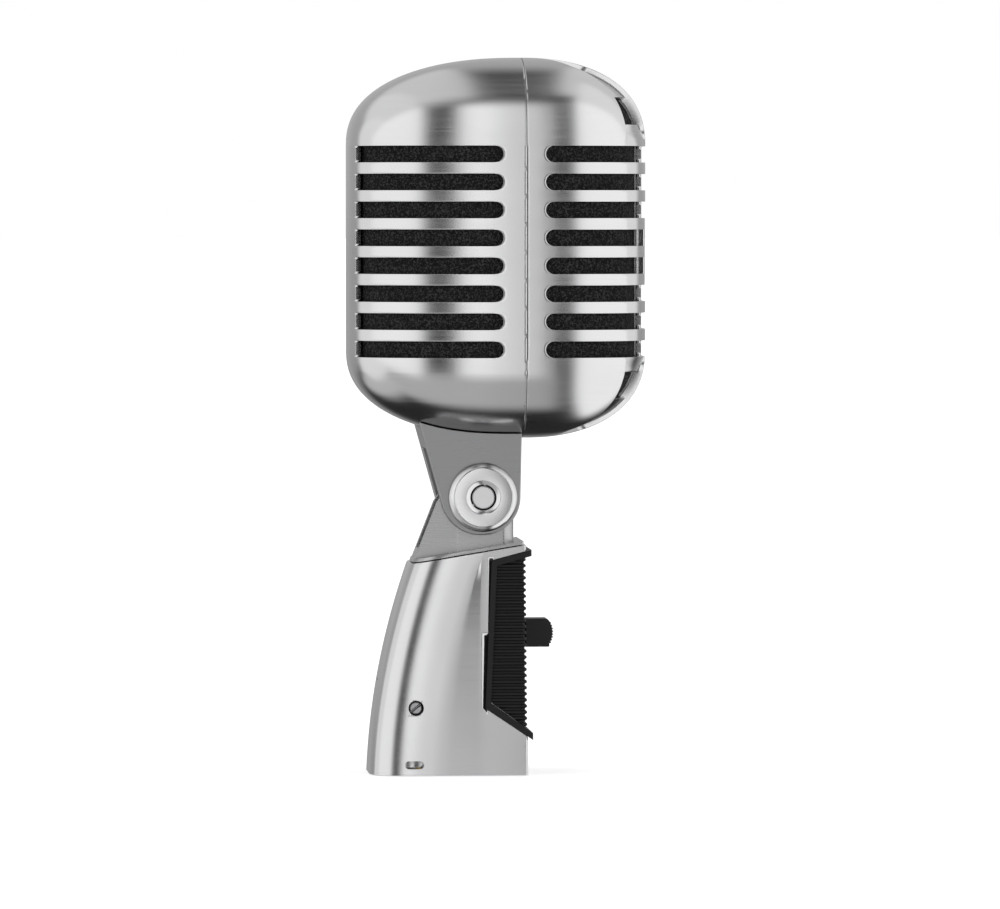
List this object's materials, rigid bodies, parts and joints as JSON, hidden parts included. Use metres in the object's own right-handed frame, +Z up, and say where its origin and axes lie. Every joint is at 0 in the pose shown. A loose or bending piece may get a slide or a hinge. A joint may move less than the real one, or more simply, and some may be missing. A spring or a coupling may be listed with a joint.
{
  "type": "desktop microphone",
  "caption": "Classic slotted-grille dynamic microphone: a rounded two-shell head tilts on a yoke over a curved base with a slide switch, a stand socket and a cable inlet.",
  "frame": {"origin": "on the surface the base stands on, under the middle of the object's bounding box", "axes": "+Z up, -Y towards the front of the microphone, +X across it"},
  "size_m": [0.0564, 0.0784, 0.188],
  "materials": {
    "shell_metal": "satin plated die casting, brushed level",
    "base_metal": "satin plated die casting, brushed along its length",
    "plain_steel": "plain, turned or pressed",
    "core_steel": "dull magnetic steel",
    "copper": "enamelled wire winding",
    "gold_plate": "gold-coloured plating",
    "black_plastic": "satin black moulding",
    "rubber": "matte black",
    "foam": "open-cell dark grey foam",
    "film": "thin clear amber film"
  },
  "bodies": {
    "base": {"base_lead": "rubber", "base_shell": "base_metal", "connector_insert": "black_plastic", "connector_screw": "plain_steel", "contact_1": "gold_plate", "contact_2": "gold_plate", "contact_3": "gold_plate", "neck": "base_metal", "neck_screw_left": "plain_steel", "neck_screw_right": "plain_steel", "stand_insert": "plain_steel", "switch_bezel": "black_plastic", "switch_body": "black_plastic", "switch_plate": "black_plastic", "switch_screw_lower": "plain_steel", "switch_screw_upper": "plain_steel"},
    "head": {"badge": "shell_metal", "capsule_bracket": "plain_steel", "capsule_can": "plain_steel", "capsule_cap": "plain_steel", "diaphragm": "film", "foam_front": "foam", "foam_rear": "foam", "friction_washer_left": "rubber", "friction_washer_right": "rubber", "front_shell": "shell_metal", "head_lead": "rubber", "magnet": "core_steel", "magnet_cup": "core_steel", "pivot_bolt": "base_metal", "pivot_cap_left": "base_metal", "pivot_cap_right": "base_metal", "pole_piece": "core_steel", "rear_shell": "shell_metal", "shell_screw": "plain_steel", "shock_mount": "rubber", "transformer_coil": "copper", "transformer_core": "core_steel", "voice_coil": "copper", "yoke": "base_metal", "yoke_screw_left": "plain_steel", "yoke_screw_right": "plain_steel"},
    "switch": {"switch_knob": "black_plastic"}
  },
  "joints": [
    {"name": "head_tilt", "type": "hinge", "parent": "base", "child": "head", "pos_m": [0, 0.0042, 0.0728], "axis": [1, 0, 0], "range_deg": [-70, 45]},
    {"name": "switch_slide", "type": "slide", "parent": "base", "child": "switch", "axis": [0, 0, 1], "range_m": [-0.004, 0]}
  ]
}
